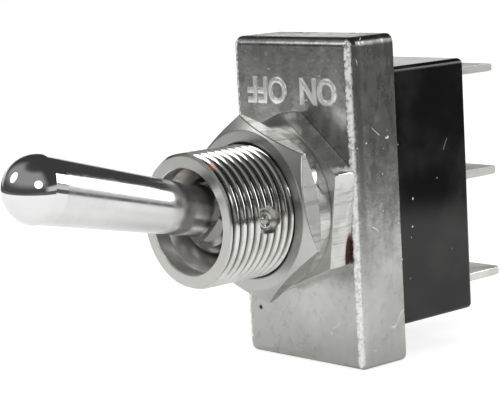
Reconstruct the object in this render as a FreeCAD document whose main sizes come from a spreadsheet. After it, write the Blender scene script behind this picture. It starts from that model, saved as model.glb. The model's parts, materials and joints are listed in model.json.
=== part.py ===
"""Heavy-duty bat-handle toggle switch for a round panel hole.

Millimetres. The origin is on the bushing's axis at the front face of the can.
+X runs across the can, +Y from the front face to the terminals and +Z along the can's long side.
The lever is drawn thrown upward, so its tail holds the lower contact closed.
"""
import FreeCAD, Part
import os
import re

import Sketcher

SIZES = {
    # can
    "can_width": 15.5,
    "can_height": 29.9,
    "can_depth": 5.45,
    "can_wall": 0.5,
    "can_corner_radius": 0.8,
    "tab_width": 6.4,
    "tab_reach": 2.6,
    # bushing
    "thread_diameter": 12.0,
    "thread_pitch_diameter": 11.48,
    "thread_run_in": 1.2,
    "bushing_length": 13.15,
    "mouth_chamfer": 0.25,
    "mouth_bore_diameter": 9.4,
    "mouth_bore_depth": 1.5,
    "seat_cone_length": 1.5,
    "seat_length_behind_pin": 2.4,
    "tail_bore_diameter": 9.3,
    "flange_diameter": 13.6,
    "flange_thickness": 1.0,
    "press_gap": 0.02,
    # nuts
    "nut_wall": 1.4,
    "rear_nut_thickness": 2.6,
    "front_nut_thickness": 1.95,
    "nut_collar_length": 1.5,
    "nut_collar_step": 0.2,
    "nut_chamfer_angle": 30.0,
    "nut_countersink": 0.6,
    "nut_thread_gap": 0.02,
    "nut_bevel_length": 1.1,
    "nut_bevel_angle": 10.0,
    "front_nut_turn": 38.7,
    "rear_nut_turn": 22.0,
    # pivot
    "pivot_depth": 8.8,
    "pin_diameter": 1.7,
    "pin_recess_diameter": 2.45,
    "pin_recess_depth": 0.8,
    "pin_dome": 0.35,
    "pin_end_flat": 0.4,
    "running_gap": 0.06,
    # lever
    "lever_tilt": 14.0,
    "lever_reach": 20.4,
    "lever_tip_diameter": 5.94,
    "bat_front_diameter": 5.68,
    "bat_root_diameter": 4.56,
    "bat_root_reach": 5.1,
    "neck_reach": 4.5,
    "neck_diameter": 4.0,
    "ball_diameter": 7.2,
    "tail_diameter": 3.2,
    "tail_length": 15.6,
    "tail_bore_start": 8.6,
    "tail_bore_width": 2.1,
    # plunger and spring
    "plunger_reach": 17.0,
    "plunger_length": 5.0,
    "plunger_gap": 0.05,
    "spigot_diameter": 1.0,
    "spigot_length": 1.3,
    "spring_wire": 0.26,
    "spring_turns": 6.0,
    "spring_end_gap": 0.05,
    # base
    "insulator_thickness": 0.4,
    "insulator_slot_width": 4.2,
    "insulator_slot_height": 9.8,
    "base_gap": 0.05,
    "tab_gap": 0.01,
    "base_back": 15.45,
    "base_corner_radius": 0.5,
    "base_side_wall": 1.8,
    "base_end_wall": 1.14,
    "floor_thickness": 2.95,
    # terminals
    "terminal_end_margin": 1.74,
    "terminal_width": 6.3,
    "terminal_thickness": 0.8,
    "terminal_reach": 9.6,
    "terminal_tip_chamfer": 1.1,
    "terminal_hole_diameter": 1.6,
    "terminal_hole_inset": 3.2,
    "foot_length": 4.5,
    "slot_gap": 0.05,
    # contacts
    "contact_inset": 2.8,
    "contact_diameter": 3.2,
    "contact_gap": 0.08,
    "button_diameter": 2.8,
    "button_height": 0.7,
    "button_edge": 0.3,
    "button_stem_diameter": 1.2,
    "rivet_shank_diameter": 1.8,
    "rivet_tail_diameter": 3.0,
    "rivet_tail_thickness": 0.5,
    "rivet_well_diameter": 3.6,
    "rivet_well_depth": 0.8,
    "rivet_head_edge": 0.2,
    # rocker and saddle
    "rocker_tilt_share": 0.5,
    "rocker_thickness": 0.8,
    "rocker_width": 5.0,
    "rocker_tip_margin": 1.6,
    "rocker_web": 0.65,
    "rocker_trough_half": 3.9,
    "rocker_boss_half": 1.3,
    "plunger_clearance": 0.2,
    "ridge_radius": 0.5,
    "ridge_gap": 0.05,
    "saddle_plate": 0.6,
    "saddle_width": 4.6,
    "saddle_lip_reach": 1.5,
    "saddle_foot_reach": 4.5,
    "saddle_rivet_place": 2.9,
    "saddle_head_diameter": 2.6,
    "saddle_head_thickness": 0.5,
    # how far an outline that cuts reaches past what it cuts
    "cut_margin": 0.5,
}


# Derived places, written with the names of the sizes above.
BASE_FRONT = "(can_wall + flange_thickness + insulator_thickness)"
TAB_FRONT = "(can_depth - can_wall)"
INSIDE_HALF_WIDTH = "(can_width / 2 - can_wall - base_gap)"
INSIDE_HALF_HEIGHT = "(can_height / 2 - can_wall - base_gap)"
BASE_HALF_HEIGHT = "(can_height / 2 - can_wall - tab_reach - tab_gap)"
NUT_FLAT = "(thread_diameter / 2 + nut_wall)"
NUTS_LENGTH = "(rear_nut_thickness + nut_collar_length + front_nut_thickness)"
TERMINAL_PLACE = f"({BASE_HALF_HEIGHT} - terminal_end_margin)"
CONTACT_PLACE = f"({TERMINAL_PLACE} - contact_inset)"
FLOOR_FRONT = "(base_back - floor_thickness)"
FOOT_FRONT = f"({FLOOR_FRONT} - terminal_thickness)"
WELL_FLOOR = "(base_back - rivet_well_depth)"
SEAT_RADIUS = "(ball_diameter / 2 + running_gap)"
PIN_END = "(thread_diameter / 2 - pin_recess_depth)"
PLUNGER_RADIUS = "(tail_bore_width / 2 - plunger_gap)"

# The rocker's pivot lies on the bushing's axis, this far behind the can's front face.
ROCKER_CROWN = "(rocker_web + ridge_radius + ridge_gap)"
FULCRUM = f"(plunger_reach - pivot_depth + {PLUNGER_RADIUS} + plunger_clearance + {ROCKER_CROWN})"
ROCKER_TILT = "(lever_tilt * rocker_tilt_share)"

# The centre of the plunger's round end, seen from the tilted rocker, runs on a circle through its
# middle place and its place at full throw. The trough is that circle, grown by the end and a gap.
END_ALONG = f"(plunger_reach * cos(lever_tilt) - pivot_depth - {FULCRUM})"
END_ACROSS = "(plunger_reach * sin(lever_tilt))"
END_DEPTH = f"({END_ALONG} * cos({ROCKER_TILT}) - {END_ACROSS} * sin({ROCKER_TILT}))"
END_SIDE = f"({END_ACROSS} * cos({ROCKER_TILT}) + {END_ALONG} * sin({ROCKER_TILT}))"
PATH_RISE = f"(plunger_reach - pivot_depth - {FULCRUM} - {END_DEPTH})"
PATH_RADIUS = f"(({END_SIDE} * {END_SIDE} + {PATH_RISE} * {PATH_RISE}) / 2 / {PATH_RISE})"
TROUGH_RADIUS = f"({PATH_RADIUS} + {PLUNGER_RADIUS} + plunger_clearance)"
TROUGH_CENTRE = f"(-{ROCKER_CROWN} - {TROUGH_RADIUS})"
ARM_FRONT = f"({TROUGH_CENTRE} + sqrt({TROUGH_RADIUS} ^ 2 - rocker_trough_half ^ 2))"
ARM_BACK = f"({ARM_FRONT} + rocker_thickness)"
BUTTON_FACE = f"({ARM_BACK} + button_height)"
CONTACT_FACE = (f"({FULCRUM} + {BUTTON_FACE} * cos({ROCKER_TILT})"
                f" + ({CONTACT_PLACE} + button_diameter / 2 - button_edge) * sin({ROCKER_TILT})"
                " + contact_gap)")

V = FreeCAD.Vector
doc = FreeCAD.newDocument("toggle_switch")


def fill_sheet():
    """Put each driving dimension in a cell of its own, under its name."""
    sheet = doc.addObject("Spreadsheet::Sheet", "dim")
    for row, (name, value) in enumerate(SIZES.items(), start=1):
        sheet.set(f"A{row}", name)
        sheet.set(f"B{row}", str(value))
        sheet.setAlias(f"B{row}", name)
    doc.recompute()


def linked(formula):
    """The formula with the name of each size written as its cell."""
    def cell(word):
        return "dim." + word[0] if word[0] in SIZES else word[0]

    return re.sub(r"[a-z][a-z_]*", cell, str(formula))


def bind(thing, prop, formula):
    thing.setExpression(prop, linked(formula))


def new_body(label):
    body = doc.addObject("PartDesign::Body", label)
    body.Label = label
    return body


def attach(feature, body, role, across="0"):
    """Attach to one of the body's own origin planes, moved along that plane's normal."""
    plane = next(item for item in body.Origin.OriginFeatures if item.Role == role)
    feature.AttachmentSupport = (plane, [""])
    feature.MapMode = "FlatFace"
    bind(feature, "AttachmentOffset.Base.z", across)


def new_sketch(body, name, role, across="0"):
    sketch = body.newObject("Sketcher::SketchObject", name)
    attach(sketch, body, role, across)
    return sketch


def add_outline(sketch, corners):
    """A closed outline through the corners, each one dimensioned from the sketch's origin."""
    first = sketch.GeometryCount
    count = len(corners)
    turn = FreeCAD.Rotation(V(0, 0, 1), 360.0 / count)
    point = V(1, 0, 0)
    for _ in corners:
        end = turn.multVec(point)
        sketch.addGeometry(Part.LineSegment(point, end), False)
        point = end
    for side in range(count):
        following = (side + 1) % count
        sketch.addConstraint(Sketcher.Constraint("Coincident", first + side, 2, first + following, 1))
    for side, corner in enumerate(corners):
        for kind, formula in zip(("DistanceX", "DistanceY"), corner):
            index = sketch.addConstraint(Sketcher.Constraint(kind, -1, 1, first + side, 1, 1.0))
            bind(sketch, f"Constraints[{index}]", formula)


def add_circle(sketch, across, along, radius):
    """A circle with its centre dimensioned from the sketch's origin."""
    circle = sketch.addGeometry(Part.Circle(V(1, 1, 0), V(0, 0, 1), 1.0), False)
    for kind, formula in (("DistanceX", across), ("DistanceY", along)):
        index = sketch.addConstraint(Sketcher.Constraint(kind, -1, 1, circle, 3, 1.0))
        bind(sketch, f"Constraints[{index}]", formula)
    index = sketch.addConstraint(Sketcher.Constraint("Radius", circle, 1.0))
    bind(sketch, f"Constraints[{index}]", radius)


def rectangle(low_x, high_x, low_y, high_y):
    return [(low_x, low_y), (high_x, low_y), (high_x, high_y), (low_x, high_y)]


def centred(half_x, half_y):
    return rectangle(f"-{half_x}", half_x, f"-{half_y}", half_y)


def spin(body, name, corners, axis="V_Axis", across="0", cut=False):
    """Turn an outline about the sketch's own axis, to add a turned solid or to cut one away."""
    sketch = new_sketch(body, name + "_outline", "XY_Plane", across)
    add_outline(sketch, corners)
    feature = body.newObject("PartDesign::Groove" if cut else "PartDesign::Revolution", name)
    feature.Profile = sketch
    feature.ReferenceAxis = (sketch, [axis])
    feature.Angle = 360
    sketch.Visibility = False
    return feature


def slab(body, name, corners, front, back, cut=False):
    """Extrude an outline in X and Z from one depth to another, to add it or to cut it away."""
    sketch = new_sketch(body, name + "_outline", "XZ_Plane", f"-({front})")
    add_outline(sketch, corners)
    return extrude_back(body, name, sketch, front, back, cut)


def hole(body, name, across, along, radius, front, back):
    """Cut a round hole along Y from one depth to another."""
    sketch = new_sketch(body, name + "_outline", "XZ_Plane", f"-({front})")
    add_circle(sketch, across, along, radius)
    return extrude_back(body, name, sketch, front, back, True)


def extrude_back(body, name, sketch, front, back, cut):
    feature = body.newObject("PartDesign::Pocket" if cut else "PartDesign::Pad", name)
    feature.Profile = sketch
    feature.Reversed = not cut
    bind(feature, "Length", f"{back} - ({front})")
    return feature


def strip(body, name, outlines, width, cut=False, role="YZ_Plane", across="0"):
    """Extrude outlines to both sides of a plane, to add them or to cut them away."""
    sketch = new_sketch(body, name + "_outline", role, across)
    for outline in outlines:
        if len(outline) == 3:
            add_circle(sketch, *outline)
        else:
            add_outline(sketch, outline)
    feature = body.newObject("PartDesign::Pocket" if cut else "PartDesign::Pad", name)
    feature.Profile = sketch
    feature.Midplane = True
    bind(feature, "Length", width)
    return feature


def ball(body, name, along, radius):
    """Add a sphere on the Y axis."""
    feature = body.newObject("PartDesign::AdditiveSphere", name)
    attach(feature, body, "XY_Plane")
    bind(feature, "AttachmentOffset.Base.y", along)
    bind(feature, "Radius", radius)
    return feature


def round_edges(body, name, radius, wanted):
    """Fillet the edges of the body's last feature that the test picks."""
    doc.recompute()
    base = body.Tip
    edges = [f"Edge{number}" for number, edge in enumerate(base.Shape.Edges, start=1) if wanted(edge)]
    feature = body.newObject("PartDesign::Fillet", name)
    feature.Base = (base, edges)
    bind(feature, "Radius", radius)
    return feature


def runs_along(edge, axis):
    """True for a straight edge along the axis."""
    if not isinstance(edge.Curve, Part.Line):
        return False
    return abs(abs(edge.Curve.Direction.dot(axis)) - 1) < 1e-6


def tilt(body, depth, angle):
    """Stand the body at a depth on the bushing's axis, turned about X."""
    body.Placement.Rotation = FreeCAD.Rotation(V(1, 0, 0), 1)
    bind(body, "Placement.Base.y", depth)
    bind(body, "Placement.Rotation.Angle", f"({angle}) * 1 deg")


def housing_can():
    """Drawn can, open at the back, with a tab folded over the base at each end."""
    body = new_body("housing_can")
    slab(body, "shell", centred("can_width / 2", "can_height / 2"), "0", "can_depth")
    depth = SIZES["can_depth"]
    round_edges(body, "drawn_corners", "can_corner_radius",
                lambda edge: runs_along(edge, V(0, 1, 0)) or edge.BoundBox.YMax < depth / 2)
    inside = centred("(can_width / 2 - can_wall)", "(can_height / 2 - can_wall)")
    slab(body, "inside", inside, "can_wall", "can_depth", cut=True)
    hole(body, "bushing_hole", "0", "0", "thread_diameter / 2 + press_gap", "0", "can_wall")
    for end, sign in (("upper", ""), ("lower", "-")):
        outer = f"{sign}(can_height / 2)"
        inner = f"{sign}(can_height / 2 - can_wall - tab_reach)"
        for side in ("", "-"):
            slit = rectangle(f"{side}(tab_width / 2)", f"{side}(tab_width / 2 + can_wall)",
                             outer, f"{sign}(can_height / 2 - can_wall)")
            name = f"{end}_slit_{'right' if side == '' else 'left'}"
            slab(body, name, slit, "can_depth - 2 * can_wall", "can_depth", cut=True)
        tab = rectangle("-(tab_width / 2)", "tab_width / 2", outer, inner)
        slab(body, f"{end}_tab", tab, TAB_FRONT, "can_depth")
    return body


def bushing():
    """Turned bushing: mouth bore, ball seat, tail bore and the flange inside the can.

    The free thread is drawn at its crest. From a short way ahead of the nuts back to the can it
    is drawn at its pitch diameter, where the two threads meet.
    """
    body = new_body("bushing")
    flange_back = "can_wall + flange_thickness"
    seat_back = "-pivot_depth + seat_length_behind_pin"
    nuts_front = f"-{NUTS_LENGTH} - thread_run_in"
    corners = [
        ("mouth_bore_diameter / 2", "-bushing_length"),
        ("thread_diameter / 2 - mouth_chamfer", "-bushing_length"),
        ("thread_diameter / 2", "-bushing_length + mouth_chamfer"),
        ("thread_diameter / 2", nuts_front),
        ("thread_pitch_diameter / 2", nuts_front),
        ("thread_pitch_diameter / 2", "0"),
        ("thread_diameter / 2", "0"),
        ("thread_diameter / 2", "can_wall"),
        ("flange_diameter / 2", "can_wall"),
        ("flange_diameter / 2", flange_back),
        ("tail_bore_diameter / 2", flange_back),
        ("tail_bore_diameter / 2", f"{seat_back} + tail_bore_diameter / 2 - {SEAT_RADIUS}"),
        (SEAT_RADIUS, seat_back),
        (SEAT_RADIUS, "-bushing_length + mouth_bore_depth + seat_cone_length"),
        ("mouth_bore_diameter / 2", "-bushing_length + mouth_bore_depth"),
    ]
    spin(body, "turning", corners)
    pin_hole = ("-pivot_depth", "0", "pin_diameter / 2 + press_gap")
    strip(body, "pin_hole", [pin_hole], "thread_diameter + 2 * cut_margin", cut=True)
    recess = ("-pivot_depth", "0", "pin_recess_diameter / 2")
    for name, side in (("right_recess", ""), ("left_recess", "-")):
        strip(body, name, [recess], "pin_recess_depth * 2", cut=True, across=f"{side}(thread_diameter / 2)")
    return body


def nut_corners(turn):
    """The six corners of a nut, the first one turned up from +X by the angle."""
    corner = f"{NUT_FLAT} / cos(30)"
    return [(f"{corner} * cos({turn} + {60 * side})", f"{corner} * sin({turn} + {60 * side})")
            for side in range(6)]


def bore_through(body, front, back):
    """Bore the nut at the thread's pitch diameter and countersink both ends past its crest."""
    bore = "(thread_pitch_diameter / 2 + nut_thread_gap)"
    rim = "(thread_diameter / 2 + nut_countersink)"
    hole(body, "bore", "0", "0", bore, front, back)
    for name, face, inward in (("front", front, "+"), ("back", back, "-")):
        sink = [("0", face), (rim, face), ("0", f"{face} {inward} {rim}")]
        spin(body, name + "_countersink", sink, cut=True)


def front_nut():
    """Nut turned from hexagon bar: both ends are chamfered and a round collar stands behind it."""
    body = new_body("front_nut")
    front, back = f"-{NUTS_LENGTH}", "-rear_nut_thickness"
    shoulder = f"({back} - nut_collar_length)"
    slab(body, "blank", nut_corners("front_nut_turn"), front, shoulder)
    collar = f"({NUT_FLAT} - nut_collar_step)"
    rim = f"({NUT_FLAT} / cos(30) + cut_margin)"
    for name, face, inward in (("front", front, "+"), ("back", shoulder, "-")):
        depth = f"({rim} - {collar}) * tan(nut_chamfer_angle)"
        cone = [(collar, face), (rim, face), (rim, f"{face} {inward} {depth}")]
        spin(body, name + "_chamfer", cone, cut=True)
    spin(body, "collar", [("0", shoulder), (collar, shoulder), (collar, back), ("0", back)])
    bore_through(body, front, back)
    return body


def rear_nut():
    """Nut with a sharp front and a shallow bevel along each flat towards the can."""
    body = new_body("rear_nut")
    front, back = "-rear_nut_thickness", "0"
    bevel_front = f"({back} - nut_bevel_length)"
    slab(body, "blank", nut_corners("rear_nut_turn"), front, bevel_front)
    bevel = slab(body, "bevel", nut_corners("rear_nut_turn"), bevel_front, back)
    bind(bevel, "TaperAngle", "-nut_bevel_angle")
    bore_through(body, front, back)
    return body


def lever():
    """Bat handle, ball and hollow tail in one piece, drawn about the pin and tilted up."""
    body = new_body("lever")
    corners = [
        ("0", "-lever_reach"),
        ("bat_front_diameter / 2", "-lever_reach"),
        ("bat_root_diameter / 2", "-bat_root_reach"),
        ("neck_diameter / 2", "-neck_reach"),
        ("neck_diameter / 2", "0"),
        ("tail_diameter / 2", "0"),
        ("tail_diameter / 2", "tail_length"),
        ("0", "tail_length"),
    ]
    spin(body, "turning", corners)
    ball(body, "tip", "-lever_reach", "lever_tip_diameter / 2")
    ball(body, "pivot_ball", "0", "ball_diameter / 2")
    bore = [("0", "tail_bore_start"), ("tail_bore_width / 2", "tail_bore_start"),
            ("tail_bore_width / 2", "tail_length"), ("0", "tail_length")]
    spin(body, "spring_bore", bore, cut=True)
    pin_hole = ("0", "0", "pin_diameter / 2 + running_gap")
    strip(body, "pin_hole", [pin_hole], "ball_diameter + 2 * cut_margin", cut=True)
    tilt(body, "-pivot_depth", "-lever_tilt")
    return body


def pivot_pin():
    """Cross pin with domed ends that sit in the recesses of the thread."""
    body = new_body("pivot_pin")
    end = f"({PIN_END} + pin_dome)"
    corners = [(f"-{end}", "0"), (end, "0"), (end, "pin_diameter / 2"), (f"-{end}", "pin_diameter / 2")]
    spin(body, "shank", corners, axis="H_Axis")
    round_edges(body, "domes", "(pin_diameter - pin_end_flat) / 2",
                lambda edge: isinstance(edge.Curve, Part.Circle))
    bind(body, "Placement.Base.y", "-pivot_depth")
    return body


def insulator():
    """Fibre sheet with a slot for the lever's tail."""
    body = new_body("insulator")
    front = "can_wall + flange_thickness"
    slab(body, "sheet", centred(INSIDE_HALF_WIDTH, INSIDE_HALF_HEIGHT), front, BASE_FRONT)
    round_edges(body, "corners", "base_corner_radius", lambda edge: runs_along(edge, V(0, 1, 0)))
    slot = centred("insulator_slot_width / 2", "insulator_slot_height / 2")
    slab(body, "tail_slot", slot, front, BASE_FRONT, cut=True)
    return body


def plunger():
    """Nylon plunger with a round nose and a spigot for the spring."""
    body = new_body("plunger")
    tail = "plunger_reach - plunger_length"
    corners = [
        ("0", f"{tail} - spigot_length"),
        ("spigot_diameter / 2", f"{tail} - spigot_length"),
        ("spigot_diameter / 2", tail),
        (PLUNGER_RADIUS, tail),
        (PLUNGER_RADIUS, "plunger_reach"),
        ("0", "plunger_reach"),
    ]
    spin(body, "turning", corners)
    ball(body, "nose", "plunger_reach", PLUNGER_RADIUS)
    tilt(body, "-pivot_depth", "-lever_tilt")
    return body


def wire_octagon(across, along):
    """The wire's section with eight sides, which keeps the coil light."""
    corner = "(spring_wire / 2 / cos(22.5))"
    turns = [45 * side + 22.5 for side in range(8)]
    return [(f"{across} + {corner} * cos({turn})", f"{along} + {corner} * sin({turn})") for turn in turns]


def plunger_spring():
    """Compression spring between the bottom of the lever's bore and the plunger."""
    body = new_body("plunger_spring")
    sketch = new_sketch(body, "wire_outline", "XY_Plane")
    first = "tail_bore_start + spring_end_gap + spring_wire / 2"
    last = "plunger_reach - plunger_length - spring_end_gap - spring_wire / 2"
    centre = "tail_bore_width / 2 - plunger_gap - spring_wire / 2"
    add_outline(sketch, wire_octagon(centre, first))
    feature = body.newObject("PartDesign::AdditiveHelix", "coil")
    feature.Profile = sketch
    feature.ReferenceAxis = (sketch, ["V_Axis"])
    feature.Mode = 2
    bind(feature, "Height", f"{last} - ({first})")
    bind(feature, "Turns", "spring_turns")
    tilt(body, "-pivot_depth", "-lever_tilt")
    return body


def base():
    """Phenolic moulding: flange inside the can, block behind it, cavity, slots and rivet holes."""
    body = new_body("base")
    slab(body, "flange", centred(INSIDE_HALF_WIDTH, INSIDE_HALF_HEIGHT), BASE_FRONT, TAB_FRONT)
    slab(body, "block", centred(INSIDE_HALF_WIDTH, BASE_HALF_HEIGHT), BASE_FRONT, "base_back")
    back = SIZES["base_back"]
    round_edges(body, "moulded_corners", "base_corner_radius",
                lambda edge: runs_along(edge, V(0, 1, 0)) or edge.BoundBox.YMin > back - 0.001)
    cavity = centred(f"({INSIDE_HALF_WIDTH} - base_side_wall)", f"({BASE_HALF_HEIGHT} - base_end_wall)")
    slab(body, "cavity", cavity, BASE_FRONT, FLOOR_FRONT, cut=True)
    for name, place in (("upper", TERMINAL_PLACE), ("centre", "0"), ("lower", f"-{TERMINAL_PLACE}")):
        half_width = "(terminal_width / 2 + slot_gap)"
        half_height = "(terminal_thickness / 2 + slot_gap)"
        slot = rectangle(f"-{half_width}", half_width,
                         f"{place} - {half_height}", f"{place} + {half_height}")
        slab(body, f"{name}_slot", slot, FLOOR_FRONT, "base_back", cut=True)
    rivets = (("upper", CONTACT_PLACE), ("saddle", "saddle_rivet_place"), ("lower", f"-{CONTACT_PLACE}"))
    for name, place in rivets:
        hole(body, f"{name}_rivet_hole", "0", place, "rivet_shank_diameter / 2 + press_gap",
             FLOOR_FRONT, "base_back")
        hole(body, f"{name}_rivet_well", "0", place, "rivet_well_diameter / 2", WELL_FLOOR, "base_back")
    return body


def terminal(label, place, inward, rivet_place):
    """Blade with a foot that is folded onto the base's floor and riveted there."""
    body = new_body(label)
    tip = "(base_back + terminal_reach)"
    half = "(terminal_width / 2)"
    blade = [
        (f"-{half}", FOOT_FRONT), (half, FOOT_FRONT),
        (half, f"{tip} - terminal_tip_chamfer"), (f"{half} - terminal_tip_chamfer", tip),
        (f"-{half} + terminal_tip_chamfer", tip), (f"-{half}", f"{tip} - terminal_tip_chamfer"),
    ]
    eye = ("0", f"{tip} - terminal_hole_inset", "terminal_hole_diameter / 2")
    strip(body, "blade", [blade, eye], "terminal_thickness", role="XY_Plane", across=place)
    outer = f"{place} - ({inward}) * terminal_thickness / 2"
    foot = rectangle(f"-{half}", half, outer, f"{outer} + ({inward}) * foot_length")
    slab(body, "foot", foot, FOOT_FRONT, FLOOR_FRONT)
    hole(body, "rivet_hole", "0", rivet_place, "rivet_shank_diameter / 2 + press_gap",
         FOOT_FRONT, FLOOR_FRONT)
    return body


def rivet_outline(face, seat, head_radius):
    """Half section of a rivet from its head's face, through its seat, to the set end in its well."""
    return [
        ("0", face), (f"{head_radius} - rivet_head_edge", face), (head_radius, f"{face} + rivet_head_edge"),
        (head_radius, seat), ("rivet_shank_diameter / 2", seat), ("rivet_shank_diameter / 2", WELL_FLOOR),
        ("rivet_tail_diameter / 2", WELL_FLOOR),
        ("rivet_tail_diameter / 2", f"{WELL_FLOOR} + rivet_tail_thickness"),
        ("0", f"{WELL_FLOOR} + rivet_tail_thickness"),
    ]


def fixed_contact(label, place):
    """Contact rivet through the foot of an outer terminal."""
    body = new_body(label)
    spin(body, "rivet", rivet_outline(CONTACT_FACE, FOOT_FRONT, "(contact_diameter / 2)"), across=place)
    return body


def saddle():
    """Fulcrum: a plate on the centre foot with a round-edged ridge across it."""
    body = new_body("saddle")
    plate_front = f"({FOOT_FRONT} - saddle_plate)"
    half = "(saddle_width / 2)"
    plate = rectangle(f"-{half}", half, "-saddle_lip_reach", "saddle_foot_reach")
    slab(body, "plate", plate, plate_front, FOOT_FRONT)
    ridge = rectangle(FULCRUM, plate_front, "-ridge_radius", "ridge_radius")
    strip(body, "ridge", [ridge], "saddle_width")
    strip(body, "ridge_top", [(FULCRUM, "0", "ridge_radius")], "saddle_width")
    hole(body, "rivet_hole", "0", "saddle_rivet_place", "rivet_shank_diameter / 2 + press_gap",
         plate_front, FOOT_FRONT)
    return body


def saddle_rivet():
    """Rivet through the saddle's plate, the centre foot and the base."""
    body = new_body("saddle_rivet")
    seat = f"({FOOT_FRONT} - saddle_plate)"
    outline = rivet_outline(f"{seat} - saddle_head_thickness", seat, "(saddle_head_diameter / 2)")
    spin(body, "rivet", outline, across="saddle_rivet_place")
    return body


def rocker():
    """Contact bar: a trough for the plunger, a groove for the ridge and an arm on each side."""
    body = new_body("rocker")
    half = "rocker_trough_half"
    outer_radius = f"({TROUGH_RADIUS} + rocker_thickness)"
    wide = "rocker_width + 2 * cut_margin"
    strip(body, "block", [rectangle(ARM_FRONT, "0", f"-{half}", half)], "rocker_width")
    reach = f"({outer_radius} + cut_margin)"
    around = rectangle(f"{TROUGH_CENTRE} - {reach}", f"{TROUGH_CENTRE} + {reach}", f"-{reach}", reach)
    strip(body, "trough_back", [around, (TROUGH_CENTRE, "0", outer_radius)], wide, cut=True)
    strip(body, "boss", [rectangle(f"-{ROCKER_CROWN}", "0", "-rocker_boss_half", "rocker_boss_half")],
          "rocker_width")
    for name, sign in (("upper_arm", ""), ("lower_arm", "-")):
        tip = f"{sign}({CONTACT_PLACE} + rocker_tip_margin)"
        arm = rectangle(ARM_FRONT, ARM_BACK, f"{sign}{half}", tip)
        strip(body, name, [arm], "rocker_width")
    strip(body, "trough", [(TROUGH_CENTRE, "0", TROUGH_RADIUS)], wide, cut=True)
    strip(body, "ridge_groove", [("0", "0", "ridge_radius + ridge_gap")], wide, cut=True)
    for name, place in (("upper_hole", CONTACT_PLACE), ("lower_hole", f"-{CONTACT_PLACE}")):
        hole(body, name, "0", place, "button_stem_diameter / 2 + press_gap", ARM_FRONT, ARM_BACK)
    tilt(body, FULCRUM, ROCKER_TILT)
    return body


def rocker_contact(label, place):
    """Silver button with its stem set in the rocker's arm."""
    body = new_body(label)
    stem = "button_stem_diameter / 2"
    head = "button_diameter / 2"
    corners = [
        ("0", ARM_FRONT), (stem, ARM_FRONT), (stem, ARM_BACK), (head, ARM_BACK),
        (head, f"{BUTTON_FACE} - button_edge"), (f"{head} - button_edge", BUTTON_FACE),
        ("0", BUTTON_FACE),
    ]
    spin(body, "button", corners, across=place)
    tilt(body, FULCRUM, ROCKER_TILT)
    return body


def check_and_write(bodies):
    """Stop if anything failed, then write each sub-part to its own file."""
    doc.recompute()
    for item in doc.Objects:
        if {"Invalid", "Error"} & set(item.State):
            raise RuntimeError(f"{item.Label} failed: {item.State}")
    os.makedirs("parts", exist_ok=True)
    for body in bodies:
        shape = body.Shape
        if shape.isNull() or not shape.isValid() or not shape.Solids:
            raise RuntimeError(f"{body.Label} has no valid solid")
        shape.exportStep(f"parts/{body.Label}.step")
        print(body.Label, len(shape.Solids), round(shape.Volume, 3))


def main():
    fill_sheet()
    bodies = [
        housing_can(),
        bushing(),
        rear_nut(),
        front_nut(),
        lever(),
        pivot_pin(),
        insulator(),
        plunger(),
        plunger_spring(),
        base(),
        terminal("terminal_upper", TERMINAL_PLACE, "-1", CONTACT_PLACE),
        terminal("terminal_centre", "0", "1", "saddle_rivet_place"),
        terminal("terminal_lower", f"-{TERMINAL_PLACE}", "1", f"-{CONTACT_PLACE}"),
        fixed_contact("contact_upper", CONTACT_PLACE),
        fixed_contact("contact_lower", f"-{CONTACT_PLACE}"),
        saddle(),
        saddle_rivet(),
        rocker(),
        rocker_contact("rocker_contact_upper", CONTACT_PLACE),
        rocker_contact("rocker_contact_lower", f"-{CONTACT_PLACE}"),
    ]
    check_and_write(bodies)


main()
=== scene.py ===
"""Looks of a bat-handle toggle switch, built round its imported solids.

Shapes are worked out in millimetres, in the frame of the solids: the origin is on the bushing's
axis at the front face of the can, +X across the can, +Y back to the terminals, +Z along the can.
"""

import json
import logging
import math
from dataclasses import dataclass
from enum import Enum
from functools import reduce
from typing import Any

import bmesh
import bpy
import numpy as np
from mathutils import Matrix


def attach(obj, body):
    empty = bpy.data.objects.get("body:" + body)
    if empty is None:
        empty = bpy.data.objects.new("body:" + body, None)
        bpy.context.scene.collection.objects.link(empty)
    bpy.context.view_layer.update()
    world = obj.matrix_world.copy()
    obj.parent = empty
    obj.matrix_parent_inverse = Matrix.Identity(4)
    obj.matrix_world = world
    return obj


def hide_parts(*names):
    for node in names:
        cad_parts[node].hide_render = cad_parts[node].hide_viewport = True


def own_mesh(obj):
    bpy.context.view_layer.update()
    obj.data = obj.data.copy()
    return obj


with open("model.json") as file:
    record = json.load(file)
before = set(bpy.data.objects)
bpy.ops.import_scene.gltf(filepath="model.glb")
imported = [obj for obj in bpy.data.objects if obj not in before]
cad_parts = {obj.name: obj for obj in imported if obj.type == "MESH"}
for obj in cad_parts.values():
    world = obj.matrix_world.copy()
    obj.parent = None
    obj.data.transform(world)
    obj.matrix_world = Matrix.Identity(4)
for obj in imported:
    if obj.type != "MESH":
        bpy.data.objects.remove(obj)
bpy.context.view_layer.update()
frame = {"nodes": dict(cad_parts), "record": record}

LOG = logging.getLogger("toggle_switch")
MM = 0.001
MERGE_MM = 0.0015                                # points nearer to each other become one
PIVOT = np.array([0.0, -8.8, 0.0])               # the middle of the lever's pivot pin
LEVER_LEAN = math.radians(14.0)                  # how far the lever leans to +Z at rest
THIRDS = (0.0, 0.33, 0.67, 1.0)                  # the rows across a band of a nut
SMOOTH = {"interpolation_type": "SMOOTHSTEP"}    # for a Map Range that eases in and out
WHITE = (1.0, 1.0, 1.0, 1.0)

Tree = bpy.types.NodeTree
Node = bpy.types.Node
Socket = bpy.types.NodeSocket
Mesh = bpy.types.Mesh
Piece = bpy.types.Object
Material = bpy.types.Material
Span = tuple[float, float]
Triple = tuple[float, float, float]


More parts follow.
